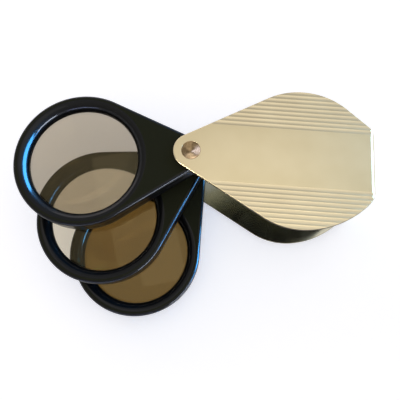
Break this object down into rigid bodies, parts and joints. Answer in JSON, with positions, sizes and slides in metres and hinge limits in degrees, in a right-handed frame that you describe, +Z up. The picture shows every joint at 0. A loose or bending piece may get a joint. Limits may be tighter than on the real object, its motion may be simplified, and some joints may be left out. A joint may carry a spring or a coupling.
{
  "type": "folding magnifier",
  "caption": "Pocket magnifier with round lenses in black teardrop frames that swing out of a ribbed satin metal case about a common rivet.",
  "frame": {"origin": "the pivot axis at the flat underside of the case, where the flush lower end of the rivet is", "axes": "+X along the case from the pivot to its end web, +Z up along the pivot axis, square to the plates"},
  "size_m": [0.0915, 0.06, 0.0239],
  "materials": {
    "case_metal": "satin, champagne",
    "rivet_metal": "polished",
    "washer_metal": "plain",
    "frame_plastic": "black, glossy walls and satin faces",
    "lens_glass": "polished"
  },
  "bodies": {
    "case": {"case": "case_metal", "pivot_rivet": "rivet_metal", "top_washer": "washer_metal", "upper_spacer": "washer_metal", "lower_spacer": "washer_metal", "bottom_washer": "washer_metal"},
    "upper_frame": {"upper_frame_top_half": "frame_plastic", "upper_frame_bottom_half": "frame_plastic", "upper_lens": "lens_glass"},
    "middle_frame": {"middle_frame_top_half": "frame_plastic", "middle_frame_bottom_half": "frame_plastic", "middle_lens": "lens_glass"},
    "lower_frame": {"lower_frame_top_half": "frame_plastic", "lower_frame_bottom_half": "frame_plastic", "lower_lens": "lens_glass"}
  },
  "joints": [
    {"name": "upper_frame_swing", "type": "hinge", "parent": "case", "child": "upper_frame", "pos_m": [0, 0, 0.0193], "axis": [0, 0, 1], "continuous": true},
    {"name": "middle_frame_swing", "type": "hinge", "parent": "case", "child": "middle_frame", "pos_m": [0, 0, 0.012], "axis": [0, 0, 1], "continuous": true},
    {"name": "lower_frame_swing", "type": "hinge", "parent": "case", "child": "lower_frame", "pos_m": [0, 0, 0.0046], "axis": [0, 0, 1], "continuous": true}
  ]
}
